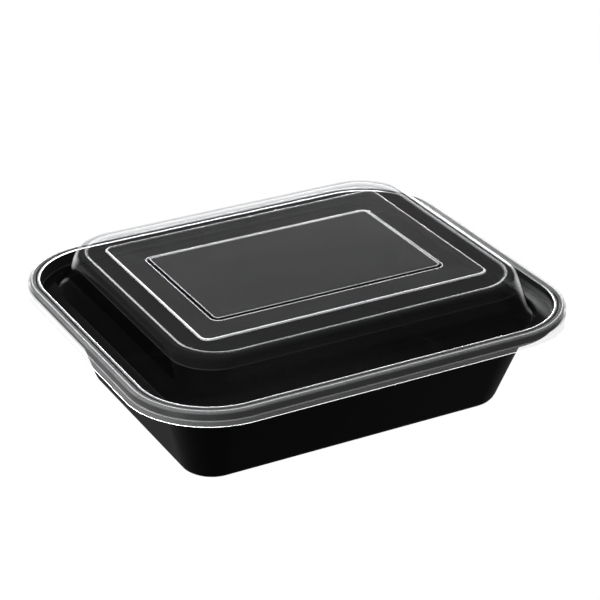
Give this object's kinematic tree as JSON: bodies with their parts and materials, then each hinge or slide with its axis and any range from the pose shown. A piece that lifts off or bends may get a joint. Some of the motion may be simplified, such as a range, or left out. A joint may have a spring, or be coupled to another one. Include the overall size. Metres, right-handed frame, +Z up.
{
  "type": "takeaway meal container",
  "caption": "Shallow rectangular takeaway tray in black plastic with rounded corners, closed by a clear push-on lid with a raised dome.",
  "frame": {"origin": "middle of the tray's base, on the surface it stands on", "axes": "+X along the long side, +Y across, +Z up through the lid"},
  "size_m": [0.222, 0.1894, 0.0678],
  "materials": {
    "tray": "moulded black plastic with a soft gloss",
    "lid": "thin clear plastic, glossy on both faces"
  },
  "bodies": {
    "root": {"tray": "tray", "lid": "lid"}
  },
  "joints": []
}
